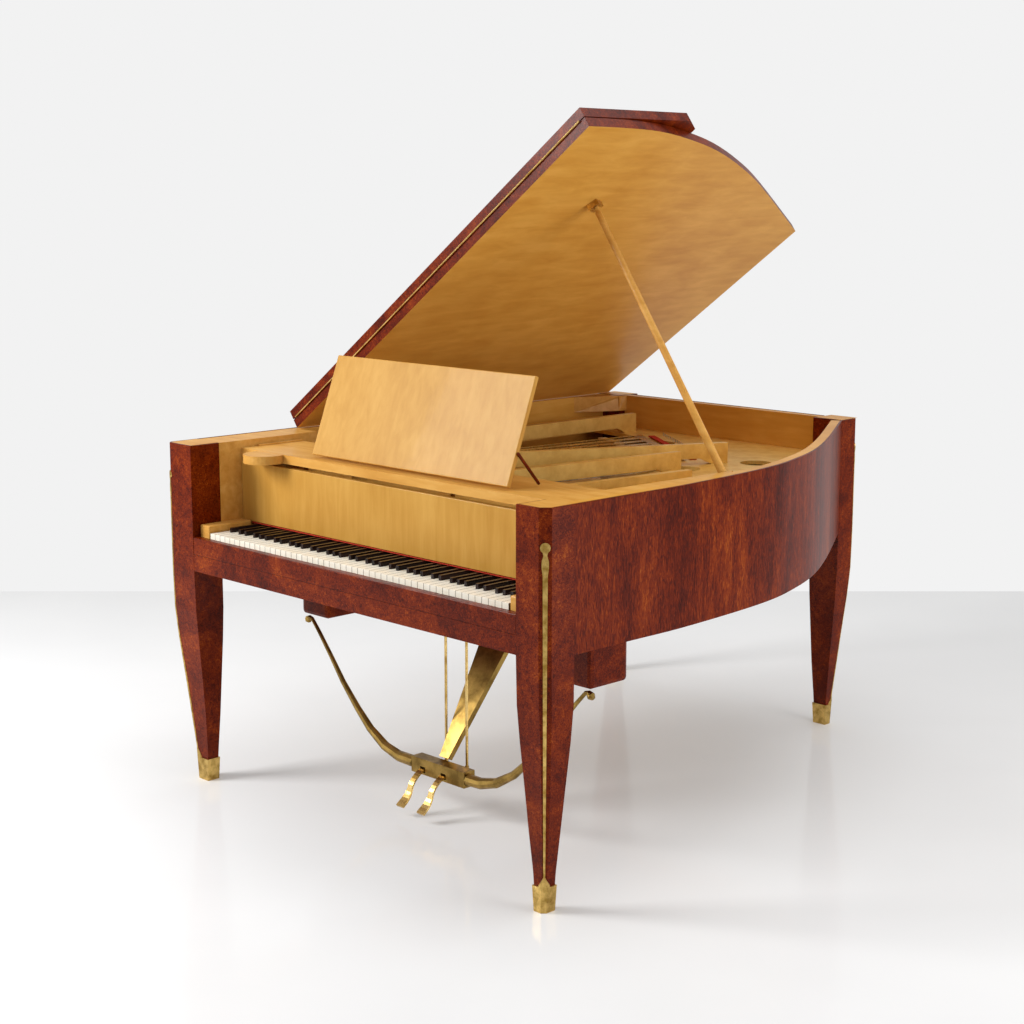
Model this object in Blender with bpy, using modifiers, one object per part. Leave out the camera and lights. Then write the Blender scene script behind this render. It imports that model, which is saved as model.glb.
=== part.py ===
# Grand piano with a burl walnut case: the construction, one named object per piece.
# Metres, +Z up. Working frame: x = 0 at the keyboard's centre, +x to the treble,
# y = 0 at the front faces of the front posts, +y to the tail, z = 0 on the floor.
# One empty moves the whole piano so that the origin is below the middle of its box.
import math

import bmesh
import bpy
from mathutils import Matrix, Vector

for leftover in list(bpy.data.objects):
    bpy.data.objects.remove(leftover, do_unlink=True)

# Driving dimensions
X_MID = -0.018
Y_MID = 0.944
GAP = 0.0003
CASE_BOTTOM = 0.642
CASE_TOP = 1.003
LEFT_FACE = -0.775
RIGHT_FACE = 0.758
ARM_INNER = 0.661
WALL = 0.033
POST_DEPTH = 0.098
REAR_FRONT = 1.793
REAR_BACK = 1.888
SEAM = 0.6903

PITCH_NATURAL = 0.0235
KEY_GAP = 0.001
KEY_FRONT = 0.0252
KEY_TOP = 0.755
KEY_UNDER = 0.733
HEAD_LENGTH = 0.050
SHARP_WIDTH = 0.0095
SHARP_TOP = 0.768
SHARP_FRONT = 0.0775
BALANCE_Y = 0.245
BALANCE_Z = 0.744

LID_X = -0.765
LID_OPEN = math.radians(35.65)
LID_THICK = 0.027
LID_FRONT = 0.457
FOLD_Y = 0.454
FOLD_T = 0.0285

DESK_AXIS = (0.205, 0.990)
DESK_LEAN = math.radians(20.3)
DESK_HEIGHT = 0.288

PEDAL_AXIS = (0.350, 0.117)
PEDAL_X = {"left": -0.053, "right": 0.033}
ROD_Y = 0.420

PROP_FOOT = Vector((0.676, 0.740, 0.986))
CUP_A = 1.165
CUP_Y = 0.761

parts = bpy.data.collections.new("grand_piano")
cutters = bpy.data.collections.new("cutters")
bpy.context.scene.collection.children.link(parts)
bpy.context.scene.collection.children.link(cutters)

root = bpy.data.objects.new("piano_frame", None)
root.location = (-X_MID, -Y_MID, 0.0)
parts.objects.link(root)


# Materials
def material(name, colour, roughness, metallic=0.0):
    made = bpy.data.materials.new(name)
    made.use_nodes = True
    shader = made.node_tree.nodes["Principled BSDF"]
    shader.inputs["Base Color"].default_value = (*colour, 1.0)
    shader.inputs["Roughness"].default_value = roughness
    shader.inputs["Metallic"].default_value = metallic
    return made


BURL = material("burl", (0.19, 0.035, 0.008), 0.15)
MAPLE = material("maple", (0.66, 0.32, 0.09), 0.25)
SPRUCE = material("spruce", (0.72, 0.50, 0.25), 0.45)
BRONZE = material("bronze", (0.40, 0.26, 0.07), 0.35, 1.0)
BRASS = material("brass", (0.75, 0.53, 0.20), 0.25, 1.0)
GOLD_IRON = material("gold_iron", (0.70, 0.45, 0.12), 0.40, 0.8)
STEEL = material("steel", (0.62, 0.60, 0.56), 0.30, 1.0)
IVORY = material("ivory", (0.84, 0.78, 0.62), 0.25)
EBONY = material("ebony", (0.020, 0.012, 0.010), 0.25)
BEECH = material("beech", (0.55, 0.36, 0.18), 0.50)


# Small modelling helpers
def keep(mesh, name, finish):
    made = bpy.data.objects.new(name, mesh)
    mesh.materials.clear()
    mesh.materials.append(finish)
    made.parent = root
    parts.objects.link(made)
    return made


def clean(mesh):
    work = bmesh.new()
    work.from_mesh(mesh)
    bmesh.ops.remove_doubles(work, verts=work.verts, dist=0.00001)
    bmesh.ops.recalc_face_normals(work, faces=work.faces)
    work.to_mesh(mesh)
    work.free()
    return mesh


def curve_mesh(curve):
    holder = bpy.data.objects.new("outline", curve)
    parts.objects.link(holder)
    mesh = clean(bpy.data.meshes.new_from_object(holder))
    bpy.data.objects.remove(holder, do_unlink=True)
    return mesh


PLANES = {
    "XY": Matrix(((1, 0, 0), (0, 1, 0), (0, 0, 1))),
    "XZ": Matrix(((1, 0, 0), (0, 0, -1), (0, 1, 0))),
    "YZ": Matrix(((0, 0, 1), (1, 0, 0), (0, 1, 0))),
}


def prism(name, finish, outlines, low, high, plane="XY", turn=None):
    """A flat outline (the first list) with any holes (the other lists), made thick."""
    curve = bpy.data.curves.new(name, "CURVE")
    curve.dimensions = "2D"
    curve.fill_mode = "BOTH"
    curve.extrude = (high - low) / 2
    for outline in outlines:
        spline = curve.splines.new("POLY")
        spline.points.add(len(outline) - 1)
        for point, (u, v) in zip(spline.points, outline):
            point.co = (u, v, 0.0, 1.0)
        spline.use_cyclic_u = True
    mesh = curve_mesh(curve)
    side = (low + high) / 2
    if plane == "XZ":
        side = -side
    basis = turn or PLANES[plane]
    mesh.transform(Matrix.Translation((0, 0, side)))
    mesh.transform(basis.to_4x4())
    return keep(clean(mesh), name, finish)


def box(name, finish, x, y, z, bevel=0.0):
    mesh = bpy.data.meshes.new(name)
    work = bmesh.new()
    bmesh.ops.create_cube(work, size=1.0)
    size = Vector((x[1] - x[0], y[1] - y[0], z[1] - z[0]))
    middle = Vector((x[1] + x[0], y[1] + y[0], z[1] + z[0])) / 2
    bmesh.ops.scale(work, vec=size, verts=work.verts)
    bmesh.ops.translate(work, vec=middle, verts=work.verts)
    work.to_mesh(mesh)
    work.free()
    made = keep(mesh, name, finish)
    if bevel:
        soft = made.modifiers.new("soft_edges", "BEVEL")
        soft.width = bevel
        soft.segments = 2
    return made


def tube(name, finish, points, radii, sides=3):
    curve = bpy.data.curves.new(name, "CURVE")
    curve.dimensions = "3D"
    curve.bevel_depth = 1.0
    curve.bevel_resolution = sides
    curve.use_fill_caps = True
    spline = curve.splines.new("POLY")
    spline.points.add(len(points) - 1)
    for point, place, radius in zip(spline.points, points, radii):
        point.co = (*place, 1.0)
        point.radius = radius
    made = keep(curve_mesh(curve), name, finish)
    for face in made.data.polygons:
        face.use_smooth = len(face.vertices) == 4
    return made


def turned(name, finish, profile, steps=20):
    """A turned piece: the profile's (radius, height) points run from the top down."""
    mesh = bpy.data.meshes.new(name)
    work = bmesh.new()
    rail = [work.verts.new((radius, 0, height)) for radius, height in profile]
    edges = [work.edges.new(pair) for pair in zip(rail, rail[1:])]
    bmesh.ops.spin(work, geom=rail + edges, cent=(0, 0, 0), axis=(0, 0, 1),
                   angle=math.tau, steps=steps)
    work.to_mesh(mesh)
    work.free()
    return keep(clean(mesh), name, finish)


def cutter(tool):
    parts.objects.unlink(tool)
    cutters.objects.link(tool)
    tool.hide_render = True
    tool.display_type = "WIRE"
    return tool


def combine(target, tool, operation):
    step = target.modifiers.new(operation.lower(), "BOOLEAN")
    step.operation = operation
    step.solver = "EXACT"
    step.object = cutter(tool)
    return target


def pivot(made, place):
    """Put the object's origin on its joint, with the shape left where it is."""
    made.data.transform(Matrix.Translation(-Vector(place)))
    made.location = place
    return made


def smooth(points, per=6):
    """A smooth line through the points (Catmull and Rom's formula)."""
    known = [Vector(point) for point in points]
    known = [2 * known[0] - known[1]] + known + [2 * known[-1] - known[-2]]
    line = []
    for a, b, c, d in zip(known, known[1:], known[2:], known[3:]):
        for step in range(per):
            t = step / per
            line.append(0.5 * (2 * b + (c - a) * t + (2 * a - 5 * b + 4 * c - d) * t * t
                               + (3 * b - 3 * c + d - a) * t ** 3))
    line.append(known[-2])
    return line


def shifted(line, distance):
    """The line moved sideways, to the left of its direction."""
    moved = []
    for i, point in enumerate(line):
        ahead = line[min(i + 1, len(line) - 1)]
        behind = line[max(i - 1, 0)]
        along = (ahead - behind).normalized()
        moved.append(point + distance * Vector((-along.y, along.x)))
    return moved


def circle(x, y, radius, count=20):
    return [(x + radius * math.cos(math.tau * i / count),
             y + radius * math.sin(math.tau * i / count)) for i in range(count)]


# The outline of the bent side, front to tail
BENT = smooth([(0.757, POST_DEPTH + GAP), (0.756, 0.30), (0.757, 0.47), (0.742, 0.70),
               (0.720, 0.88), (0.685, 1.02), (0.615, 1.21), (0.494, 1.44), (0.283, REAR_FRONT - GAP)])


def rim(front):
    """The inside of the case, for the pieces that lie between its walls."""
    inner = [p for p in shifted(BENT, WALL + 0.001) if 0.78 < p.y < REAR_FRONT - 2 * GAP]
    side = ARM_INNER - 2 * GAP
    post = 0.173 - 2 * GAP
    tail = 1.822 - 2 * GAP
    left = -0.741 + 2 * GAP
    corner = REAR_FRONT - 2 * GAP
    return ([(-side, front), (side, front), (side, 0.765)] + [tuple(p) for p in inner]
            + [(post, corner), (post, tail), (-0.6637 + GAP, tail), (-0.6637 + GAP, corner),
               (left, corner), (left, 0.453), (-side, 0.453)])


# Case
def build_case():
    spine = (LEFT_FACE, LEFT_FACE + WALL + 0.001)
    box("spine_wall", BURL, spine, (POST_DEPTH + GAP, REAR_FRONT - GAP), (CASE_BOTTOM, CASE_TOP))
    box("tail_wall", BURL, (-0.664 + GAP, 0.173 - GAP), (1.822, 1.855), (CASE_BOTTOM, CASE_TOP))
    inner = shifted(BENT, WALL)
    prism("bent_side", BURL, [BENT + inner[::-1]], CASE_BOTTOM, CASE_TOP)
    for face in bpy.data.objects["bent_side"].data.polygons:
        face.use_smooth = abs(face.normal.z) < 0.5
    left = spine[1] + GAP
    corner = [(left, 1.645), (left, REAR_FRONT - GAP), (-0.6637 + GAP, REAR_FRONT - GAP),
              (-0.6637 + GAP, 1.8217), (-0.655, 1.8217)]
    prism("corner_block", MAPLE, [corner], 0.95, CASE_TOP - GAP)
    box("bass_ledge", MAPLE, (left, -ARM_INNER), (POST_DEPTH + GAP, 0.452), (CASE_BOTTOM, CASE_TOP))
    edge = [tuple(p) for p in shifted(BENT, WALL + GAP) if p.y < 0.75]
    edge = edge + [(0.690, 0.756), (0.690, 0.72), (0.678, 0.50), (0.668, 0.30), (ARM_INNER, 0.20),
                   (ARM_INNER, POST_DEPTH + GAP)]
    prism("treble_ledge", MAPLE, [edge], CASE_BOTTOM, CASE_TOP)
    side = ARM_INNER - GAP
    keybed = box("keybed", BURL, (-side, side), (0.0005, 0.50), (CASE_BOTTOM, SEAM - GAP))
    for x in PEDAL_X.values():
        combine(keybed, prism("rod_hole", STEEL, [circle(x, ROD_Y, 0.0065, 16)], 0.6, 0.75), "DIFFERENCE")
    box("keyslip", BURL, (-side, side), (0.0005, 0.0240), (SEAM, 0.740), 0.002)
    for name, sign in (("bass_key_block", -1), ("treble_key_block", 1)):
        x = sorted((sign * 0.6150, sign * (ARM_INNER - GAP)))
        box(name, MAPLE, x, (0.0250, 0.1730), (SEAM, 0.775), 0.004)


# Legs: full corner posts that taper to a small foot in a metal shoe.
# Each row is a height, then how far each face has moved in: front, outer, back, inner,
# and the corner's bevel.
LEG_SECTIONS = [(1.003, 0.000, 0.0000, 0.0000, 0.000, 0.022),
                (0.640, 0.000, 0.0000, 0.0000, 0.000, 0.022),
                (0.520, 0.003, 0.0010, 0.0000, 0.000, 0.021),
                (0.430, 0.011, 0.0070, 0.0030, 0.002, 0.018),
                (0.300, 0.024, 0.0200, 0.0090, 0.007, 0.014),
                (0.200, 0.033, 0.0300, 0.0134, 0.011, 0.011),
                (0.100, 0.041, 0.0400, 0.0180, 0.018, 0.009),
                (0.004, 0.044, 0.0460, 0.0215, 0.024, 0.008)]
# name: inner x, outer x, inner y, outer y, share of the corner's bevel
LEGS = {"front_left": (-ARM_INNER, LEFT_FACE, POST_DEPTH, 0.0, 0.5),
        "front_right": (ARM_INNER, RIGHT_FACE, POST_DEPTH, 0.0, 1.0),
        "rear_left": (-0.664, LEFT_FACE, REAR_FRONT, REAR_BACK, 1.0),
        "rear_right": (0.173, 0.283, REAR_FRONT, REAR_BACK, 1.0)}
SHOE_THICK = 0.0033


def leg_solid(name, finish, grow, foot, top):
    inner_x, outer_x, inner_y, outer_y, share = LEGS[name]
    sx = math.copysign(1.0, outer_x - inner_x)
    sy = math.copysign(1.0, outer_y - inner_y)
    heights = [top] + [row[0] for row in LEG_SECTIONS[1:-1]] + [foot]

    def face(place, sign, column, extra):
        return [(place + sign * (extra - row[column]), z) for row, z in zip(LEG_SECTIONS, heights)]

    def overshoot(outline):
        return [(u, z + (0.01 if z == top else -0.01 if z == foot else 0)) for u, z in outline]

    outer = face(outer_x, sx, 2, grow)
    inner = face(inner_x, -sx, 4, grow)
    front = overshoot(face(outer_y, sy, 1, grow))
    back = overshoot(face(inner_y, -sy, 3, grow))
    span = sorted((inner_y - sy * 0.05, outer_y + sy * 0.05))
    leg = prism(name, finish, [outer + inner[::-1]], *span, plane="XZ")
    wide = sorted((inner_x - sx * 0.05, outer_x + sx * 0.05))
    combine(leg, prism("leg_side", finish, [front + back[::-1]], *wide, plane="YZ"), "INTERSECT")

    # The bevelled corner: cut in the upright plane that runs out through the corner.
    half = math.sqrt(0.5)
    out = Vector((sx * half, sy * half, 0))
    across = out.cross(Vector((0, 0, 1)))
    turn = Matrix((out, (0, 0, 1), across)).transposed()
    reach = []
    for row, z in zip(LEG_SECTIONS, heights):
        corner = Vector((outer_x - sx * row[2], outer_y - sy * row[1], 0))
        reach.append((corner.dot(out) - row[5] * share * half + grow, z))
    deep = [(d - 0.4, z) for d, z in reach]
    middle = Vector((outer_x, outer_y, 0)).dot(across)
    slab = prism("leg_corner", finish, [overshoot(reach + deep[::-1])], middle - 0.4, middle + 0.4, turn=turn)
    combine(leg, slab, "INTERSECT")
    return leg, out, across, middle, turn


def build_leg(name):
    leg, out, across, middle, turn = leg_solid(name, BURL, 0.0, 0.004, CASE_TOP)
    leg.name = name + "_leg"
    shoe, *_ = leg_solid(name, BRONZE, SHOE_THICK, 0.0, CASE_TOP + 0.02)
    shoe.name = name + "_mount"
    combine(shoe, leg_solid(name, BRONZE, GAP, 0.004 - GAP, CASE_TOP + 0.04)[0], "DIFFERENCE")

    # The long strip on the bevel, with a round head, and the shoe round the foot.
    edge = [(0.0025, 0.092), (0.0060, 0.845), (0.0085, 0.862), (0.0085, 0.878), (0.0045, 0.892)]
    head = [(0.0125 * math.cos(a), 0.910 + 0.0125 * math.sin(a))
            for a in (math.radians(d) for d in range(-60, 91, 30))]
    half = [(0.014, 0.030), (0.014, 0.070)] + edge + head
    strip_outline = [(middle + s, z) for s, z in half] + [(middle - s, z) for s, z in half[-2::-1]]
    corner = Vector((LEGS[name][1], LEGS[name][3], 0)).dot(out)
    place = Matrix((across, (0, 0, 1), -out)).transposed()
    strip = prism("strip", BRONZE, [strip_outline], -corner - 0.03, -corner + 0.09, turn=place)
    centre = [(LEGS[name][0] + LEGS[name][1]) / 2, (LEGS[name][2] + LEGS[name][3]) / 2]
    block = box("shoe_block", BRONZE, (centre[0] - 0.08, centre[0] + 0.08),
                (centre[1] - 0.08, centre[1] + 0.08), (-0.01, 0.066))
    combine(strip, block, "UNION")
    combine(shoe, strip, "INTERSECT")


# Sounding parts
def strut(name, start, end, low, high, width=0.022):
    run = Vector(end) - Vector(start)
    length = run.length
    arch = [(0, low), (0, high), (length, high), (length, low), (length - 0.04, low),
            (length - 0.09, high - 0.045), (0.09, high - 0.045), (0.04, low)]
    made = prism(name, GOLD_IRON, [arch], -width / 2, width / 2, plane="XZ")
    turn = Matrix.Rotation(math.atan2(run.y, run.x), 4, "Z")
    made.data.transform(Matrix.Translation((start[0], start[1], 0)) @ turn)
    return made


def build_inside():
    floor = box("under_beams", BEECH, (-0.06, 0.06), (0.5005, 1.8215), (CASE_BOTTOM, 0.70))
    combine(floor, box("cross_beam", BEECH, (-0.7402, 0.60), (0.95, 1.01), (CASE_BOTTOM + 0.002, 0.698)), "UNION")
    prism("soundboard", SPRUCE, [rim(0.52)], 0.835, 0.843)
    line = smooth([(0.44, 0.655), (0.17, 0.80), (-0.10, 1.10), (-0.33, 1.44), (-0.50, 1.53)], 5)
    ribbon = [tuple(p) for p in shifted(line, 0.014)] + [tuple(p) for p in shifted(line, -0.014)][::-1]
    prism("bridge", BEECH, [ribbon], 0.8433, 0.8975)
    side = ARM_INNER - 2 * GAP
    box("wrest_plank", MAPLE, (-side, side), (0.31, 0.505), (0.8440, 0.8797))

    opening = [(-0.700, 0.600), (0.560, 0.600), (0.300, 0.820), (0.060, 1.080), (-0.060, 1.320),
               (-0.270, 1.640), (-0.700, 1.700)]
    holes = [circle(x, y, r) for x, y, r in ((0.115, 1.235, 0.050), (0.180, 1.085, 0.045),
                                             (0.245, 0.965, 0.040), (0.195, 1.480, 0.050))]
    frame = prism("iron_frame", GOLD_IRON, [rim(0.36), opening] + holes, 0.880, 0.892)
    for start, end in (((-0.615, 0.375), (-0.560, 1.755)), ((-0.40, 0.375), (0.125, 1.420)),
                       ((0.030, 0.375), (0.150, 1.170)), ((0.330, 0.375), (0.400, 0.925))):
        combine(frame, strut("strut", start, end, 0.886, 0.955), "UNION")


def comb(name, finish, front, back, count, low, high):
    """Strings as one thin plate with a slot between each two; bars join them at both ends."""
    outline = [front[0], front[1], back[1], back[0]]
    corners = [Vector(p) for p in (front[0], front[1], back[0], back[1])]
    slots = []
    for i in range(count):
        sides = []
        for share in ((i + 0.25) / count, (i + 0.75) / count):
            near = corners[0].lerp(corners[1], share)
            far = corners[2].lerp(corners[3], share)
            sides.append((near.lerp(far, 0.02), near.lerp(far, 0.97)))
        slots.append([tuple(sides[0][0]), tuple(sides[1][0]), tuple(sides[1][1]), tuple(sides[0][1])])
    return prism(name, finish, [outline] + slots, low, high)


def build_strings():
    low, high = 0.8978, 0.9008
    comb("bass_strings", BRASS, [(-0.585, 0.475), (-0.375, 0.475)], [(-0.440, 1.66), (0.020, 1.36)], 8, low, high)
    comb("middle_strings", STEEL, [(-0.335, 0.475), (0.000, 0.475)], [(0.070, 1.23), (0.105, 1.05)], 8, low, high)
    comb("treble_strings", STEEL, [(0.070, 0.475), (0.300, 0.475)], [(0.170, 1.00), (0.345, 0.80)], 8, low, high)


# Keyboard
def build_keyboard():
    octave_naturals = {0: 0, 2: 1, 4: 2, 5: 3, 7: 4, 9: 5, 11: 6}
    sharp_centres = {1: 0.02115, 3: 0.04935, 6: 3 * PITCH_NATURAL + 0.02014,
                     8: 3 * PITCH_NATURAL + 0.0470, 10: 3 * PITCH_NATURAL + 0.0739}
    first_c = -26 * PITCH_NATURAL + 2 * PITCH_NATURAL
    lowest, highest = 21, 108

    def octave_start(note):
        return first_c + (note // 12 - 2) * 7 * PITCH_NATURAL

    def sharp_span(note):
        centre = octave_start(note) + sharp_centres[note % 12]
        return centre - SHARP_WIDTH / 2, centre + SHARP_WIDTH / 2

    def is_sharp(note):
        return note % 12 in sharp_centres

    def natural_outline(note):
        """Plan of one natural key, from its front left corner round to its front right."""
        left = octave_start(note) + octave_naturals[note % 12] * PITCH_NATURAL + KEY_GAP / 2
        right = left + PITCH_NATURAL - KEY_GAP
        tail_left, tail_right = left, right
        if is_sharp(note - 1) and note > lowest:
            tail_left = sharp_span(note - 1)[1] + KEY_GAP
        if is_sharp(note + 1) and note < highest:
            tail_right = sharp_span(note + 1)[0] - KEY_GAP
        shoulder = KEY_FRONT + HEAD_LENGTH
        points = [(tail_left, 0.236), (tail_left, shoulder), (left, shoulder), (left, KEY_FRONT),
                  (right, KEY_FRONT), (right, shoulder), (tail_right, shoulder), (tail_right, 0.236)]
        return [p for i, p in enumerate(points) if i == 0 or p != points[i - 1]]

    def natural_bank(name, notes):
        fingers = [natural_outline(note) for note in notes]
        outline = [point for finger in fingers for point in finger]
        outline = outline + [(fingers[-1][-1][0], 0.256), (fingers[0][0][0], 0.256)]
        made = prism(name, IVORY, [outline], KEY_UNDER, KEY_TOP)
        return pivot(made, (0, BALANCE_Y, BALANCE_Z))

    def sharp_bank(name, notes):
        outline = []
        for note in notes:
            left, right = sharp_span(note)
            outline = outline + [(left, 0.262), (left, SHARP_FRONT), (right, SHARP_FRONT), (right, 0.262)]
        outline = outline + [(outline[-1][0], 0.290), (outline[0][0], 0.290)]
        made = prism(name, EBONY, [outline[1:]], 0.70, 0.80)
        # Seen from the side, a sharp is tall as far as the fallboard and thin behind it.
        side = [(0.05, KEY_UNDER), (0.05, SHARP_TOP), (0.35, SHARP_TOP), (0.35, 0.7585),
                (0.1725, 0.7585), (0.1725, KEY_UNDER)]
        combine(made, prism("sharp_side", EBONY, [side], -0.7, 0.7, plane="YZ"), "INTERSECT")
        return pivot(made, (0, BALANCE_Y, BALANCE_Z))

    middle = range(60, 65)
    naturals = [note for note in range(lowest, highest + 1) if not is_sharp(note)]
    sharps = [note for note in range(lowest, highest + 1) if is_sharp(note)]
    natural_bank("bass_naturals", [note for note in naturals if note < 60])
    natural_bank("treble_naturals", [note for note in naturals if note > 64])
    sharp_bank("bass_sharps", [note for note in sharps if note < 60])
    sharp_bank("treble_sharps", [note for note in sharps if note > 64])
    for note, name in zip(middle, ("c4", "c_sharp4", "d4", "d_sharp4", "e4")):
        if is_sharp(note):
            sharp_bank("key_" + name, [note])
        else:
            natural_bank("key_" + name, [note])


def build_action():
    half = 0.6110
    frame = box("key_frame", BEECH, (-half, half), (0.0300, 0.4500), (0.6920, 0.7120))
    combine(frame, box("balance_rail", BEECH, (-half + 0.01, half - 0.01), (0.2370, 0.2550), (0.705, 0.7310)), "UNION")
    rack = box("action_rail", MAPLE, (-half, half), (0.3300, 0.3600), (0.7900, 0.8150))
    for sign in (-1, 1):
        x = sorted((sign * half, sign * (half - 0.004)))
        x = (x[0] + 0.0002, x[1] - 0.0002)
        combine(rack, box("rack_end", MAPLE, x, (0.331, 0.359), (0.7120 + GAP, 0.80)), "UNION")
    box("damper_rail", MAPLE, (-0.55, 0.55), (0.545, 0.575), (0.8480, 0.8660))


# Fallboard, desk and tray
def build_front():
    side = ARM_INNER - 0.001
    panel = box("fallboard", MAPLE, (-side, side), (0.1742, 0.1940), (0.7715, 0.9450), 0.002)
    pivot(panel, (0, 0.178, 0.780))
    tray = prism("desk_tray", MAPLE, [[(-0.655, 0.1745), (0.655, 0.1745), (0.655, 0.390), (-0.655, 0.390)]], 0.957, 0.982)
    combine(tray, prism("round_rest", MAPLE, [circle(-0.515, 0.150, 0.060, 32)], 0.9575, 0.9815), "UNION")

    desk = box("music_desk", MAPLE, (-0.36, 0.425), (-0.006, 0.006), (0.0, DESK_HEIGHT), 0.002)
    desk.location = (0, *DESK_AXIS)
    desk.rotation_euler = (-DESK_LEAN, 0, 0)
    strut_at = Vector((0, 0, 0.0864))
    strut_at.rotate(Matrix.Rotation(-DESK_LEAN, 3, "X"))
    arm = box("desk_strut", BURL, (0.4256, 0.4316), (-0.004, 0.110), (-0.003, 0.003))
    arm.location = (0, DESK_AXIS[0] + strut_at.y, DESK_AXIS[1] + strut_at.z)
    arm.rotation_euler = (math.radians(-48.9), 0, 0)


# Lid: the main panel, and the front flap folded back on top of it
def build_lid():
    back = smooth([(1.497, LID_FRONT), (1.494, 0.596), (1.484, 0.734), (1.455, 0.879), (1.406, 1.047),
                   (1.329, 1.233), (1.230, 1.430), (0.998, 1.841)], 4)
    outline = [(0.002, LID_FRONT)] + [tuple(p) for p in back] + [(0.002, 1.846)]
    turn = (0, -LID_OPEN, 0)
    lid = prism("lid_main", MAPLE, [outline], 0.0, LID_THICK)
    lid.location = (LID_X, 0, CASE_TOP)
    lid.rotation_euler = turn

    fold = Vector((0, 0, FOLD_T))
    fold.rotate(Matrix.Rotation(-LID_OPEN, 3, "Y"))
    at_fold = (LID_X + fold.x, FOLD_Y, CASE_TOP + fold.z)
    near = LID_FRONT - FOLD_Y
    flap = prism("lid_flap", BURL, [[(0.002, near), (1.497, near), (1.492, 0.418), (1.460, 0.466), (0.002, 0.466)]],
                 0.0018, 0.0288)
    flap.location = at_fold
    flap.rotation_euler = turn
    hinge = prism("flap_hinge", BRASS, [circle(0, 0, 0.0025, 12)], 0.02, 1.48, plane="YZ")
    hinge.location = at_fold
    hinge.rotation_euler = turn

    # The cup under the lid is open to the side that the prop swings to.
    cup = prism("prop_cup", BRASS, [[(-0.017, -0.017), (0.017, -0.017), (0.017, 0.017), (0.0085, 0.017),
                                     (0.0085, -0.0080), (-0.0085, -0.0080), (-0.0085, 0.017), (-0.017, 0.017)]],
                -0.0160, -GAP)
    cup.data.transform(Matrix.Translation((CUP_A, CUP_Y, 0)) @ Matrix.Rotation(math.radians(22), 4, "Z"))
    cup.location = lid.location
    cup.rotation_euler = turn

    top = Vector((CUP_A, CUP_Y, -0.002))
    top.rotate(Matrix.Rotation(-LID_OPEN, 3, "Y"))
    top = top + Vector((LID_X, 0, CASE_TOP))
    run = top - PROP_FOOT
    length = run.length
    ball = 0.0125
    foot = [(ball * math.cos(math.radians(a)), ball * math.sin(math.radians(a))) for a in range(30, -90, -20)]
    profile = [(0, length), (0.0060, length), (0.0060, length - 0.024), (0.0085, length - 0.030)]
    prop = turned("lid_prop", MAPLE, profile + foot + [(0, -ball)], 16)
    prop.rotation_mode = "QUATERNION"
    prop.rotation_quaternion = run.to_track_quat("Z", "Y")
    prop.location = PROP_FOOT
    box("prop_bracket", BRASS, (0.664, 0.690 - GAP), (0.726, 0.754), (0.90, PROP_FOOT.z - ball - GAP), 0.002)


# Pedals and their lyre
def build_lyre():
    arm = [(0.588, 0.452), (0.580, 0.457), (0.572, 0.463), (0.561, 0.462), (0.527, 0.426), (0.475, 0.365),
           (0.419, 0.296), (0.356, 0.232), (0.298, 0.181), (0.232, 0.143), (0.170, 0.127), (0.1190, 0.126)]
    radii = [0.006, 0.0115, 0.0080, 0.0055, 0.0058, 0.0065, 0.0078, 0.0095, 0.0115, 0.0140, 0.0160, 0.0170]
    for name, sign, end in (("lyre_arm_left", -1, 0.1025), ("lyre_arm_right", 1, 0.1205)):
        line = [(sign * x, 0.345, z) for x, z in arm[:-1]] + [(sign * end, 0.345, arm[-1][1])]
        tube(name, BRONZE, line, radii)
    for name, sign in (("lyre_block_left", -1), ("lyre_block_right", 1)):
        x = sorted((sign * 0.470, sign * 0.592))
        box(name, BURL, x, (0.330, 0.470), (0.4760, CASE_BOTTOM - GAP), 0.012)
    case = box("pedal_box", BRONZE, (-0.1005, 0.1185), (0.3300, 0.3700), (0.1030, 0.1480))
    for x in PEDAL_X.values():
        combine(case, box("pedal_slot", BURL, (x - 0.0105, x + 0.0105), (0.30, 0.40), (0.1085, 0.1255)), "DIFFERENCE")

    axis_y, axis_z = PEDAL_AXIS
    top = smooth([(ROD_Y + 0.008, 0.120), (0.350, 0.120), (0.320, 0.117), (0.290, 0.092), (0.272, 0.058), (0.243, 0.032)], 4)
    under = [tuple(p) for p in shifted(top, 0.006)]
    for side, x in PEDAL_X.items():
        pedal = prism("pedal_" + side, BRASS, [[tuple(p) for p in top] + under[::-1]], -0.009, 0.009, plane="YZ")
        for vertex in pedal.data.vertices:
            spread = min(1.0, max(0.0, (0.075 - vertex.co.z) / 0.035))
            vertex.co.x = vertex.co.x * (1 + 0.6 * spread) + x
        pivot(pedal, (x, axis_y, axis_z))
        tube("pedal_rod_" + side, BRASS, [(x, ROD_Y, 0.1205), (x, ROD_Y, 0.128), (x, ROD_Y, 0.129), (x, ROD_Y, 0.660)],
             [0.006, 0.006, 0.004, 0.004])

    brace = box("lyre_brace", BRONZE, (-0.5, 0.5), (-0.006, 0.006), (0.0, 1.0))
    foot = Vector((-0.010, 0.3785, 0.150))
    head = Vector((-0.010, 0.700, CASE_BOTTOM - 0.005))
    for vertex in brace.data.vertices:
        at = foot.lerp(head, vertex.co.z)
        width = 0.036 if vertex.co.z < 0.5 else 0.160
        vertex.co = at + Vector((vertex.co.x * width, vertex.co.y * 1.2, -vertex.co.y * 0.7))


build_case()
for leg_name in LEGS:
    build_leg(leg_name)
build_inside()
build_strings()
build_keyboard()
build_action()
build_front()
build_lid()
build_lyre()
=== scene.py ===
# %% [markdown]
# A grand piano in a burl case, dressed for a studio picture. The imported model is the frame:
# every piece of it stays where it is, and this file gives it finishes, light and fine pieces.
# Lengths are in metres. Places are first given from the front of the posts and the middle of the
# keys, as a piano maker measures them, and then moved to the frame's own zero.

# %% Load the frame
import math

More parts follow.
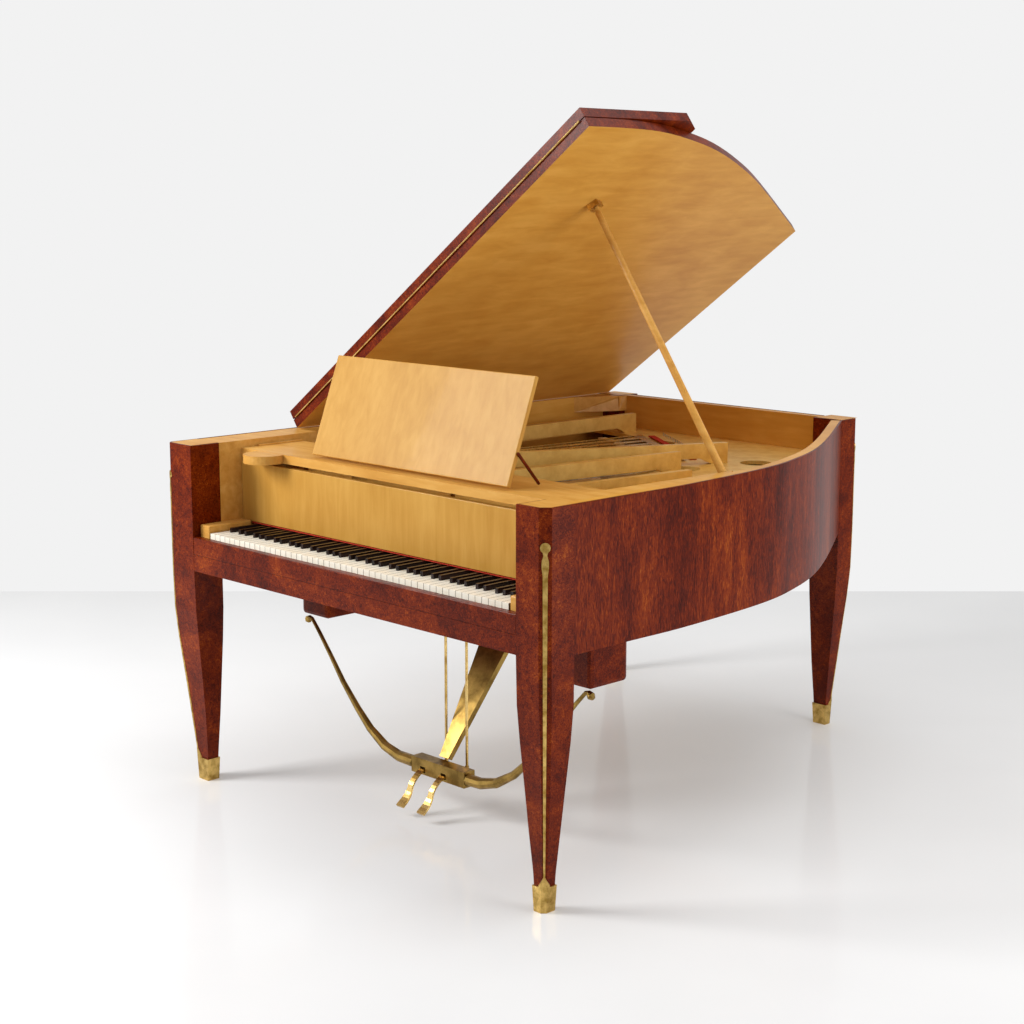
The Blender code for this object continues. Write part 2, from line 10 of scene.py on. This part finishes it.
import bpy
from mathutils import Euler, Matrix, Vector


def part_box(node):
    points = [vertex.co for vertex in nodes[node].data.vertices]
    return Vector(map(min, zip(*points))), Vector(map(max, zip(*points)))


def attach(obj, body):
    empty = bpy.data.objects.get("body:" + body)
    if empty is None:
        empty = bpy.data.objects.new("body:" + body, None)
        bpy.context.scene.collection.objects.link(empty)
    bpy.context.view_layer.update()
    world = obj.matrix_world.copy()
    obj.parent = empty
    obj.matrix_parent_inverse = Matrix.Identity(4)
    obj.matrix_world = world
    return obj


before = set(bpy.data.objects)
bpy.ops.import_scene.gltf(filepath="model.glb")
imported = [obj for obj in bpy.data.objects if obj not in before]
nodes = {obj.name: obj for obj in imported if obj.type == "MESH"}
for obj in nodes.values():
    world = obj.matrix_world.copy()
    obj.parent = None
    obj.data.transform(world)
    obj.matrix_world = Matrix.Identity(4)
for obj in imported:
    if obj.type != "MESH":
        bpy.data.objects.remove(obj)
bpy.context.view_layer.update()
X_SHIFT = 0.018
Y_SHIFT = -0.944


def place(x, y, z):
    """A place measured from the posts' front, the keys' middle and the floor, in the frame."""
    return Vector((x + X_SHIFT, y + Y_SHIFT, z))


bpy.ops.object.select_all(action="DESELECT")
print("nodes", len(nodes))

# %% [markdown]
# The camera stands to the right of the keyboard at a standing person's eye height. Its place and
# lens were worked out from the keyboard's known width, so that the same corners meet the same
# places in the picture.

# %% Camera
LENS_MM = 64.52
SENSOR_MM = 36.0
EYE = place(3.668, -2.924, 1.738)
VIEW_TILT = math.radians(79.816)
VIEW_TURN = math.radians(45.924)
lens = bpy.data.cameras.new("studio_camera")
lens.lens = LENS_MM
lens.sensor_width = SENSOR_MM
camera = bpy.data.objects.new("studio_camera", lens)
camera.location = EYE
camera.rotation_euler = Euler((VIEW_TILT, 0, VIEW_TURN))
bpy.context.scene.collection.objects.link(camera)
bpy.context.scene.camera = camera
print("camera at", tuple(round(v, 3) for v in camera.location))

# %% [markdown]
# Colours are written as on a screen, in sRGB hex, and turned to linear light here. One helper
# adds a node with its settings and its links, so each finish below reads as a short recipe.

# %% Colour and node helpers


def colour(code):
    """A hex colour such as #8A3B17 as linear red, green, blue and full alpha."""
    channels = [int(code[i:i + 2], 16) / 255 for i in (1, 3, 5)]
    linear = [c / 12.92 if c <= 0.04045 else ((c + 0.055) / 1.055) ** 2.4 for c in channels]
    return (*linear, 1.0)


def add(tree, kind, settings=None, inputs=None):
    """A new node with its settings, and its inputs set or linked."""
    made = tree.nodes.new(kind)
    for name, value in (settings or {}).items():
        setattr(made, name, value)
    for name, value in (inputs or {}).items():
        if isinstance(value, bpy.types.NodeSocket):
            tree.links.new(value, made.inputs[name])
        else:
            made.inputs[name].default_value = value
    return made


def ramp(tree, factor, stops):
    """A colour ramp read at the factor, from (position, hex colour) stops."""
    made = add(tree, "ShaderNodeValToRGB", inputs={"Fac": factor})
    elements = made.color_ramp.elements
    while len(elements) < len(stops):
        elements.new(0.5)
    for element, (position, code) in zip(elements, stops):
        element.position = position
        element.color = colour(code)
    return made


WOOD_GLOSS = 0.10
LACQUER_ROUGHNESS = 0.06


def finish(name, metallic, roughness, coat=0.0):
    """A new material, its tree and its shader. Anything but metal has a muted gloss."""
    made = bpy.data.materials.new(name)
    made.use_nodes = True
    shader = made.node_tree.nodes["Principled BSDF"]
    shader.inputs["Metallic"].default_value = metallic
    shader.inputs["Roughness"].default_value = roughness
    shader.inputs["Coat Weight"].default_value = coat
    shader.inputs["Coat Roughness"].default_value = LACQUER_ROUGHNESS
    if not metallic:
        shader.inputs["Specular IOR Level"].default_value = WOOD_GLOSS
    return made, made.node_tree, shader


def where(tree, scale=(1, 1, 1)):
    """The spot on the piece, in metres, scaled along each axis to draw a pattern out."""
    spot = add(tree, "ShaderNodeTexCoord")
    return add(tree, "ShaderNodeMapping",
               inputs={"Vector": spot.outputs["Object"], "Scale": scale}).outputs["Vector"]


# A colour Mix node has sockets of the same name for each kind of value, so they go by number.
COLOUR_A = 6
COLOUR_B = 7
COLOUR_OUT = 2
print("helpers ready")

# %% [markdown]
# Burl veneer is sliced from a knotty growth, so its grain has no direction: it is full of eyes
# some 10 mm apart and of figure as fine as 6 mm, over cloudy patches a hand wide. Its colours run
# from near black to orange under a clear lacquer. Two noises make the patches and the figure, and
# a Voronoi pattern darkens the eyes. Each scale is a count per metre.

# %% Burl veneer
BURL_STOPS = [(0.34, "#220601"), (0.45, "#480F01"), (0.53, "#671D02"), (0.61, "#863206"),
              (0.72, "#B05F1A")]
PATCHES_PER_METRE = 9.0
FIGURE_PER_METRE = 170.0
EYES_PER_METRE = 95.0
PATCH_SHARE = 0.50
FIGURE_SHARE = 0.55
EYE_DEPTH = 0.09
EYE_WIDTH = 0.30
BURL_ROUGHNESS = 0.30
LACQUER = 0.02


def burl_colour(tree, stretch=(1, 1, 1)):
    """The veneer's colour as a socket, for a finish that may hold a second veneer too."""
    spot = where(tree, stretch)
    patches = add(tree, "ShaderNodeTexNoise", inputs={
        "Vector": spot, "Scale": PATCHES_PER_METRE, "Detail": 9.0, "Roughness": 0.74, "Distortion": 0.7})
    figure = add(tree, "ShaderNodeTexNoise", inputs={
        "Vector": spot, "Scale": FIGURE_PER_METRE, "Detail": 5.0, "Roughness": 0.7, "Distortion": 1.4})
    eyes = add(tree, "ShaderNodeTexVoronoi", inputs={
        "Vector": spot, "Scale": EYES_PER_METRE, "Randomness": 1.0})
    grain = add(tree, "ShaderNodeMath", {"operation": "MULTIPLY"},
                {0: figure.outputs["Fac"], 1: FIGURE_SHARE})
    total = add(tree, "ShaderNodeMath", {"operation": "MULTIPLY_ADD"},
                {0: patches.outputs["Fac"], 1: PATCH_SHARE, 2: grain.outputs["Value"]})
    near = add(tree, "ShaderNodeMapRange", inputs={
        "Value": eyes.outputs["Distance"], "From Min": 0.0, "From Max": EYE_WIDTH,
        "To Min": -EYE_DEPTH, "To Max": 0.0})
    factor = add(tree, "ShaderNodeMath", {"operation": "ADD"},
                 {0: total.outputs["Value"], 1: near.outputs["Result"]})
    return ramp(tree, factor.outputs["Value"], BURL_STOPS).outputs["Color"]


def burl_veneer(name):
    made, tree, shader = finish(name, 0.0, BURL_ROUGHNESS, LACQUER)
    tree.links.new(burl_colour(tree), shader.inputs["Base Color"])
    return made


BURL = burl_veneer("lacquered_burl_walnut")
print("burl ready")

# %% [markdown]
# The inside faces are plain figured maple under the same lacquer: honey coloured, with long
# faint streaks along the board and a slight cloudiness across them. The streaks are one noise
# squeezed along two axes, so that it is drawn out along the third, which is the board's grain.

# %% Figured maple
MAPLE_TONES = ("#DDAA5C", "#D19A4B", "#C48B3E")
DESK_TONES = ("#CB9A4B", "#C39142", "#BA8739")
LINING_TONES = ("#E0A952", "#D59C45", "#CA8F3A")
SPRUCE_TONES = ("#E0BE84", "#D2AC6C", "#BF9656")
BEECH_TONES = ("#CDB08A", "#BE9E74", "#A98960")
ALONG_X = (2.0, 14.0, 14.0)
ALONG_Y = (14.0, 2.0, 14.0)
UP_THE_DESK = (14.0, 14.0, 1.5)
ACROSS_THE_GRAIN = (2.0, 2.0, 14.0)
STREAKS_PER_METRE = 3.0
CLOUDS_PER_METRE = 5.0
STREAK_SHARE = 0.6
CLOUD_SHARE = 0.4
MAPLE_ROUGHNESS = 0.34
MAPLE_LACQUER = 0.04
BAND_OF_NOISE = (0.36, 0.50, 0.64)


def maple_colour(tree, tones, grain):
    """The wood's colour as a socket, from a light, a middle and a dark tone."""
    streak = add(tree, "ShaderNodeTexNoise", inputs={
        "Vector": where(tree, grain), "Scale": STREAKS_PER_METRE, "Detail": 8.0, "Roughness": 0.6,
        "Distortion": 0.4})
    cloud = add(tree, "ShaderNodeTexNoise", inputs={
        "Vector": where(tree), "Scale": CLOUDS_PER_METRE, "Detail": 3.0})
    long = add(tree, "ShaderNodeMath", {"operation": "MULTIPLY"},
               {0: streak.outputs["Fac"], 1: STREAK_SHARE})
    factor = add(tree, "ShaderNodeMath", {"operation": "MULTIPLY_ADD"},
                 {0: cloud.outputs["Fac"], 1: CLOUD_SHARE, 2: long.outputs["Value"]})
    dark_to_light = list(zip(BAND_OF_NOISE, tones[::-1]))
    return ramp(tree, factor.outputs["Value"], dark_to_light).outputs["Color"]


def figured_maple(name, tones, grain=ALONG_X):
    made, tree, shader = finish(name, 0.0, MAPLE_ROUGHNESS, MAPLE_LACQUER)
    tree.links.new(maple_colour(tree, tones, grain), shader.inputs["Base Color"])
    return made


MAPLE = figured_maple("lacquered_maple", MAPLE_TONES)
DESK_MAPLE = figured_maple("desk_maple", DESK_TONES, UP_THE_DESK)
SPRUCE = figured_maple("soundboard_spruce", SPRUCE_TONES, ALONG_Y)
BEECH = figured_maple("plain_beech", BEECH_TONES)
print("maple, spruce and beech ready")

# %% [markdown]
# The case walls and the lid carry two veneers: burl on the outside and maple inside. A wall is one
# solid, so its finish picks the veneer by which way the face looks on the piece itself, which also
# holds when the lid or the flap swings. A wall's flat top is maple too.

# %% Two veneers on one board
MAPLE_FROM = 0.5
UPRIGHT_FIGURE = (1, 1, 0.22)


def two_veneers(name, inward, maple_top=True, stretch=(1, 1, 1)):
    """Maple on the faces that look inward, and on top where asked, and burl on the others."""
    made, tree, shader = finish(name, 0.0, BURL_ROUGHNESS, LACQUER)
    facing = add(tree, "ShaderNodeTexCoord").outputs["Normal"]
    inner = add(tree, "ShaderNodeVectorMath", {"operation": "DOT_PRODUCT"}, {0: facing, 1: inward})
    shown = inner.outputs["Value"]
    if maple_top:
        upper = add(tree, "ShaderNodeVectorMath", {"operation": "DOT_PRODUCT"},
                    {0: facing, 1: (0, 0, 1)})
        shown = add(tree, "ShaderNodeMath", {"operation": "MAXIMUM"},
                    {0: shown, 1: upper.outputs["Value"]}).outputs["Value"]
    pick = add(tree, "ShaderNodeMath", {"operation": "GREATER_THAN"}, {0: shown, 1: MAPLE_FROM})
    maple = maple_colour(tree, LINING_TONES, ACROSS_THE_GRAIN)
    mix = add(tree, "ShaderNodeMix", {"data_type": "RGBA"}, {"Factor": pick.outputs["Value"]})
    tree.links.new(burl_colour(tree, stretch), mix.inputs[COLOUR_A])
    tree.links.new(maple, mix.inputs[COLOUR_B])
    tree.links.new(mix.outputs[COLOUR_OUT], shader.inputs["Base Color"])
    return made


def widest_normal(node_name):
    """The direction in which the largest face of a flat board looks."""
    faces = nodes[node_name].data.polygons
    return max(faces, key=lambda face: face.area).normal.copy()


under_lid = widest_normal("lid_main")
if under_lid.z > 0:
    under_lid.negate()
SPINE_VENEERS = two_veneers("spine_veneers", (1, 0, 0))
TAIL_VENEERS = two_veneers("tail_veneers", (0, -1, 0))
BENT_VENEERS = two_veneers("bent_side_veneers", (-0.85, -0.52, 0), stretch=UPRIGHT_FIGURE)
LID_VENEERS = two_veneers("lid_veneers", under_lid, maple_top=False)
FLAP_VENEERS = two_veneers("flap_veneers", -under_lid, maple_top=False)
print("walls and lid ready, the lid's underside looks to", tuple(round(v, 2) for v in under_lid))

# %% [markdown]
# The metals: cast bronze that has been left to darken in its hollows, polished brass, the iron
# frame under gold lacquer, and bright steel wire. Age shows as dark clouds and duller patches,
# 20 to 55 mm apart, so one noise drives both the colour and the roughness.

# %% Metals
DARK_UP_TO = 0.35
BRIGHT_FROM = 0.60
DULLED_BY = 0.15
POLISHED_BY = 0.08


def aged_metal(name, bright, dark, roughness, clouds_per_metre, metallic=1.0):
    made, tree, shader = finish(name, metallic, roughness)
    cloud = add(tree, "ShaderNodeTexNoise", inputs={
        "Vector": where(tree), "Scale": clouds_per_metre, "Detail": 6.0, "Roughness": 0.65})
    tint = ramp(tree, cloud.outputs["Fac"], [(DARK_UP_TO, dark), (BRIGHT_FROM, bright)])
    dull = add(tree, "ShaderNodeMapRange", inputs={
        "Value": cloud.outputs["Fac"], "To Min": roughness + DULLED_BY,
        "To Max": roughness - POLISHED_BY})
    tree.links.new(tint.outputs["Color"], shader.inputs["Base Color"])
    tree.links.new(dull.outputs["Result"], shader.inputs["Roughness"])
    return made


BRONZE = aged_metal("aged_bronze", "#B3924F", "#7C6230", 0.32, 22.0)
SHOE_BRASS = aged_metal("rubbed_bronze", "#E2BE70", "#A8843E", 0.28, 45.0)
BRASS = aged_metal("polished_brass", "#E3C27C", "#B08A44", 0.24, 25.0)
GOLD_IRON = aged_metal("gold_lacquered_iron", "#EBC46C", "#D9AC55", 0.38, 18.0, metallic=0.4)
STEEL = aged_metal("bright_steel_wire", "#DAD8D2", "#A9A59C", 0.28, 40.0)
print("metals ready")

# %% [markdown]
# The naturals are ivory coloured and polished by hands; the sharps are near black wood. Both
# get a little unevenness, because no key is quite the shade of its neighbour. The real gaps
# between the naturals are well under a millimetre and too fine to show, so the shadow in each is
# drawn about 1.6 mm wide.

# %% Key coverings
NATURALS = 52
NATURALS_WIDTH = 1.222
KEY_PITCH = NATURALS_WIDTH / NATURALS
KEY_START = X_SHIFT - NATURALS_WIDTH / 2
KEY_GAP = 0.035
GAP_SHADOW = "#6E6252"


def key_cover(name, light, dark, roughness, grain, joints=False):
    """A key's covering. With joints, the shadow between neighbours is drawn, a key's width apart."""
    made, tree, shader = finish(name, 0.0, roughness, 0.1)
    line = add(tree, "ShaderNodeTexNoise", inputs={
        "Vector": where(tree, (42.0, 3.0, 8.0)), "Scale": grain, "Detail": 4.0})
    tint = ramp(tree, line.outputs["Fac"], [(0.35, dark), (0.65, light)]).outputs["Color"]
    if joints:
        along = add(tree, "ShaderNodeSeparateXYZ", inputs={"Vector": where(tree)}).outputs["X"]
        count = add(tree, "ShaderNodeMapRange", {"clamp": False},
                    {"Value": along, "From Min": KEY_START, "From Max": KEY_START + KEY_PITCH})
        share = add(tree, "ShaderNodeMath", {"operation": "PINGPONG"},
                    {0: count.outputs["Result"], 1: 0.5})
        gap = add(tree, "ShaderNodeMath", {"operation": "LESS_THAN"},
                  {0: share.outputs["Value"], 1: KEY_GAP})
        shaded = add(tree, "ShaderNodeMix", {"data_type": "RGBA"}, {"Factor": gap.outputs["Value"]})
        tree.links.new(tint, shaded.inputs[COLOUR_A])
        shaded.inputs[COLOUR_B].default_value = colour(GAP_SHADOW)
        tint = shaded.outputs[COLOUR_OUT]
    tree.links.new(tint, shader.inputs["Base Color"])
    return made


IVORY = key_cover("ivory_covering", "#F6F1E2", "#F0E9D6", 0.22, 1.0, joints=True)
EBONY = key_cover("ebonised_wood", "#2A1B18", "#120B0A", 0.25, 3.0)
print("keys ready")

# %% [markdown]
# Each piece of the frame now takes its finish. Burl covers what the room sees, maple what the
# player sees, and plain beech the beams and the key frame, which are never seen from outside.

# %% Give the frame's nodes their finishes
FINISHES = {
    BURL: ["keybed", "keyslip", "front_left_leg", "front_right_leg", "rear_left_leg",
           "rear_right_leg", "lyre_block_left", "lyre_block_right", "desk_strut"],
    SPINE_VENEERS: ["spine_wall"],
    TAIL_VENEERS: ["tail_wall"],
    BENT_VENEERS: ["bent_side"],
    MAPLE: ["corner_block", "bass_ledge", "treble_ledge", "wrest_plank", "action_rail",
            "damper_rail", "desk_tray", "bass_key_block", "treble_key_block", "lid_prop"],
    LID_VENEERS: ["lid_main"],
    FLAP_VENEERS: ["lid_flap"],
    DESK_MAPLE: ["fallboard", "music_desk"],
    SPRUCE: ["soundboard"],
    BEECH: ["under_beams", "bridge", "key_frame"],
    SHOE_BRASS: ["front_left_mount", "front_right_mount", "rear_left_mount", "rear_right_mount"],
    BRONZE: ["lyre_arm_left", "lyre_arm_right", "lyre_brace", "pedal_box"],
    BRASS: ["bass_strings", "flap_hinge", "prop_cup", "prop_bracket", "pedal_left", "pedal_right",
            "pedal_rod_left", "pedal_rod_right"],
    GOLD_IRON: ["iron_frame"],
    STEEL: ["middle_strings", "treble_strings"],
    IVORY: ["bass_naturals", "treble_naturals", "key_c4", "key_d4", "key_e4"],
    EBONY: ["bass_sharps", "treble_sharps", "key_c_sharp4", "key_d_sharp4"],
}
for surface, names in FINISHES.items():
    for node_name in names:
        nodes[node_name].data.materials.clear()
        nodes[node_name].data.materials.append(surface)
finished = sum(len(names) for names in FINISHES.values())
print("finished", finished, "of", len(nodes))

# %% [markdown]
# A red felt strip lies on the plate behind the strings' speaking ends. Pressed wool has no gloss
# and a fine mottle of hairs. The strip is a cube stretched between two points and bevelled.

# %% Felt strip
HAIRS_PER_METRE = 420.0
FELT_ROUGHNESS = 0.95


def wool_felt():
    made, tree, shader = finish("red_wool_felt", 0.0, FELT_ROUGHNESS)
    hair = add(tree, "ShaderNodeTexNoise", inputs={
        "Vector": where(tree), "Scale": HAIRS_PER_METRE, "Detail": 5.0})
    tint = ramp(tree, hair.outputs["Fac"], [(0.35, "#9E2A1C"), (0.65, "#C9452F")])
    tree.links.new(tint.outputs["Color"], shader.inputs["Base Color"])
    return made


FELT = wool_felt()


def bar(name, start, end, width, height, surface, body, bevel=0.001):
    """A straight bevelled bar between two points, its long side along the line."""
    run = Vector(end) - Vector(start)
    bpy.ops.mesh.primitive_cube_add(size=1, location=(Vector(start) + Vector(end)) / 2,
                                    scale=(run.length, width, height))
    made = bpy.context.object
    made.rotation_euler = (0, -math.asin(run.z / run.length), math.atan2(run.y, run.x))
    made.name = name
    bpy.ops.object.transform_apply(location=True, rotation=True, scale=True)
    soft = made.modifiers.new("soft", "BEVEL")
    soft.width = bevel
    soft.segments = 2
    bpy.ops.object.modifier_apply(modifier="soft")
    made.data.materials.append(surface)
    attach(made, body)
    bpy.ops.object.select_all(action="DESELECT")
    return made


FELT_FROM = place(-0.42, 1.69, 0.8945)
FELT_TO = place(0.02, 1.39, 0.8945)
felt = bar("string_felt", FELT_FROM, FELT_TO, 0.022, 0.004, FELT, "case")
print("felt", [round(v, 3) for v in felt.dimensions])

# %% [markdown]
# Each string is looped on a short steel hitch pin driven into the plate behind the felt. A pin is
# a small cylinder. They stand in one row, and are joined so that the row is one mesh.

# %% Hitch pins
PINS = 26
PIN_RADIUS = 0.0022
PIN_LENGTH = 0.012
FIRST_PIN = place(-0.405, 1.735, 0.896)
LAST_PIN = place(0.055, 1.425, 0.896)
pins = []
for number in range(PINS):
    spot = FIRST_PIN.lerp(LAST_PIN, number / (PINS - 1))
    bpy.ops.mesh.primitive_cylinder_add(vertices=12, radius=PIN_RADIUS, depth=PIN_LENGTH, location=spot)
    pins.append(bpy.context.object)
bpy.ops.object.select_all(action="DESELECT")
for pin in pins:
    pin.select_set(True)
bpy.context.view_layer.objects.active = pins[0]
bpy.ops.object.join()
bpy.ops.object.transform_apply(location=True, rotation=True, scale=True)
hitch = bpy.context.object
hitch.name = "hitch_pins"
hitch.data.materials.append(STEEL)
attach(hitch, "case")
bpy.ops.object.select_all(action="DESELECT")
print("hitch pins", len(pins))

# %% [markdown]
# A narrow dark band of burl runs round the case's top edge, outside the maple. Each band is one
# flat strip that follows the wall: a line is drawn, given a width and a thickness, and made a mesh.

# %% Bands along the top edge
MERGE_WITHIN = 0.00001


def smooth(points, per=8):
    """A smooth line through the points (Catmull and Rom's formula)."""
    known = [Vector(point) for point in points]
    known = [2 * known[0] - known[1]] + known + [2 * known[-1] - known[-2]]
    line = []
    for a, b, c, d in zip(known, known[1:], known[2:], known[3:]):
        for step in range(per):
            t = step / per
            line.append(0.5 * (2 * b + (c - a) * t + (2 * a - 5 * b + 4 * c - d) * t * t
                               + (3 * b - 3 * c + d - a) * t ** 3))
    line.append(known[-2])
    return line


def plate(name, outline, low, high, surface, body):
    """A flat piece with the outline's shape between two heights."""
    curve = bpy.data.curves.new(name, "CURVE")
    curve.dimensions = "2D"
    curve.fill_mode = "BOTH"
    curve.extrude = (high - low) / 2
    spline = curve.splines.new("POLY")
    spline.points.add(len(outline) - 1)
    for point, (x, y) in zip(spline.points, outline):
        point.co = (x + X_SHIFT, y + Y_SHIFT, 0.0, 1.0)
    spline.use_cyclic_u = True
    drawn = bpy.data.objects.new(name, curve)
    bpy.context.scene.collection.objects.link(drawn)
    drawn.location.z = (low + high) / 2
    drawn.select_set(True)
    bpy.context.view_layer.objects.active = drawn
    bpy.ops.object.convert(target="MESH")
    bpy.ops.object.transform_apply(location=True, rotation=True, scale=True)
    bpy.ops.object.mode_set(mode="EDIT")
    bpy.ops.mesh.select_all(action="SELECT")
    bpy.ops.mesh.remove_doubles(threshold=MERGE_WITHIN)
    bpy.ops.mesh.normals_make_consistent(inside=False)
    bpy.ops.object.mode_set(mode="OBJECT")
    drawn = bpy.context.object
    drawn.data.materials.append(surface)
    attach(drawn, body)
    bpy.ops.object.select_all(action="DESELECT")
    return drawn


def strip(name, line, width, low, high, surface, body):
    """A flat strip from the line to a line the width to its left, made thick."""
    line = [Vector(point) for point in line]
    beside = []
    for i, point in enumerate(line):
        along = (line[min(i + 1, len(line) - 1)] - line[max(i - 1, 0)]).normalized()
        beside.append(point + width * Vector((-along.y, along.x)))
    return plate(name, line + beside[::-1], low, high, surface, body)


TOP = 1.0032
VENEER = 0.0006
SUNK = 0.0001
BAND_WIDTH = 0.006
BENT_SIDE = [(0.758, 0.098), (0.7575, 0.30), (0.758, 0.47), (0.743, 0.70), (0.721, 0.88),
             (0.686, 1.02), (0.616, 1.21), (0.495, 1.44), (0.284, 1.793)]
BANDS = {
    "bent_side_band": smooth(BENT_SIDE),
    "treble_post_band": [(0.662, 0.0), (0.736, 0.0), (0.758, 0.022), (0.758, 0.098)],
    "bass_post_band": [(-0.775, 0.098), (-0.775, 0.011), (-0.764, 0.0), (-0.662, 0.0)],
    "spine_band": [(-0.775, 1.79), (-0.775, 0.10)],
    "tail_band": [(0.17, 1.855), (-0.66, 1.855)],
}
for band_name, band_line in BANDS.items():
    strip(band_name, band_line, BAND_WIDTH, TOP - SUNK, TOP + VENEER, BURL, "case")
print("bands", len(BANDS))

# %% [markdown]
# The four posts end in square tops. Each is covered with maple inside the dark band, cut to the
# post's own outline, so the front caps follow the small chamfer at the outer corner.

# %% Post caps of maple
POST_CAPS = {
    "treble_post_cap": [(0.667, 0.006), (0.733, 0.006), (0.752, 0.025), (0.752, 0.098), (0.667, 0.098)],
    "bass_post_cap": [(-0.667, 0.006), (-0.667, 0.098), (-0.769, 0.098), (-0.769, 0.0135),
                      (-0.7615, 0.006)],
    "rear_right_cap": [(0.179, 1.799), (0.277, 1.799), (0.277, 1.882), (0.179, 1.882)],
    "rear_left_cap": [(-0.769, 1.799), (-0.670, 1.799), (-0.670, 1.882), (-0.769, 1.882)],
}
for cap_name, cap_outline in POST_CAPS.items():
    plate(cap_name, cap_outline, TOP, TOP + VENEER, MAPLE, "case")
print("caps", len(POST_CAPS))

# %% [markdown]
# A thin red felt lies behind the keys against the fallboard, so that the board closes without a
# click. A slim wooden guide rod is glued to the top of the sliding desk tray, on the bass side.

# %% Key felt and tray guide
KEY_FELT_Y = 0.1735
KEY_FELT_Z = 0.7695
KEY_FELT_REACH = 0.612
GUIDE_X = -0.650
GUIDE_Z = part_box("desk_tray")[1].z + 0.0024
bar("name_felt", place(-KEY_FELT_REACH, KEY_FELT_Y, KEY_FELT_Z),
    place(KEY_FELT_REACH, KEY_FELT_Y, KEY_FELT_Z), 0.003, 0.0025, FELT, "case", 0.0005)
bar("tray_guide", place(GUIDE_X, 0.23, GUIDE_Z), place(GUIDE_X, 0.39, GUIDE_Z), 0.006, 0.005,
    MAPLE, "desk_tray", 0.001)
print("small trim done")

# %% [markdown]
# The studio is a pale glossy floor that keeps the piano's shadow and mirrors its legs softly. It
# ends some metres behind the piano, as the photograph's floor does, and beyond it the air itself
# is pale. A backdrop would do for this one view, but it would hide the piano from behind.

# %% Floor
FLOOR_BACK = 2.40
FLOOR_SIZE = 60.0
FLOOR_ROUGHNESS = 0.12
FLOOR_GLOW = 0.14
to_back = Vector((-math.sin(VIEW_TURN), math.cos(VIEW_TURN), 0))
bpy.ops.mesh.primitive_plane_add(size=FLOOR_SIZE, location=to_back * (FLOOR_BACK - FLOOR_SIZE / 2),
                                 rotation=(0, 0, VIEW_TURN))
floor = bpy.context.object
floor.name = "studio_floor"
polished, tree, shader = finish("pale_polished_floor", 0.0, FLOOR_ROUGHNESS)
speck = add(tree, "ShaderNodeTexNoise", inputs={"Vector": where(tree), "Scale": 2.0, "Detail": 2.0})
tint = ramp(tree, speck.outputs["Fac"], [(0.3, "#DEDEDE"), (0.7, "#E1E1E1")])
tree.links.new(tint.outputs["Color"], shader.inputs["Base Color"])
seen = add(tree, "ShaderNodeLightPath").outputs["Is Camera Ray"]
glow = add(tree, "ShaderNodeMath", {"operation": "MULTIPLY"}, {0: seen, 1: FLOOR_GLOW})
shader.inputs["Emission Color"].default_value = colour("#F4F4F4")
tree.links.new(glow.outputs["Value"], shader.inputs["Emission Strength"])
floor.data.materials.append(polished)
print("floor ready")

# %% [markdown]
# The air lights the piano evenly from all round, and shows as a pale wall where the camera looks
# past the floor.

# %% Air
AIR_LIGHT = 0.62
world = bpy.data.worlds.new("studio_air")
world.use_nodes = True
bpy.context.scene.world = world
air = world.node_tree
air.nodes["Background"].inputs["Color"].default_value = colour("#F2F2F2")
eye_ray = add(air, "ShaderNodeLightPath").outputs["Is Camera Ray"]
strength = add(air, "ShaderNodeMapRange", inputs={"Value": eye_ray, "To Min": AIR_LIGHT, "To Max": 1.0})
air.links.new(strength.outputs["Result"], air.nodes["Background"].inputs["Strength"])
print("air ready")

# %% [markdown]
# Three large soft lamps light the piano, from the front left, from above and from the right, so
# that no shadow has a hard edge.

# %% Lamps
MIDDLE = (0, 0, 0.8)
UNDER_LID = (0, 0.2, 1.4)


def lamp(name, spot, aim, size, power):
    """A square soft lamp at the spot, looking at the aim, its power in watts."""
    light = bpy.data.lights.new(name, "AREA")
    light.shape = "SQUARE"
    light.size = size
    light.energy = power
    made = bpy.data.objects.new(name, light)
    made.location = spot
    made.rotation_euler = (Vector(aim) - Vector(spot)).to_track_quat("-Z", "Y").to_euler()
    bpy.context.scene.collection.objects.link(made)


lamp("front_left_lamp", (-2.4, -3.6, 2.6), MIDDLE, 1.6, 160)
lamp("overhead_lamp", (0.5, 0.5, 4.2), MIDDLE, 3.0, 60)
lamp("right_lamp", (4.2, 0.8, 1.0), UNDER_LID, 2.0, 72)
bpy.context.scene.view_settings.view_transform = "Standard"
print("lamps ready")
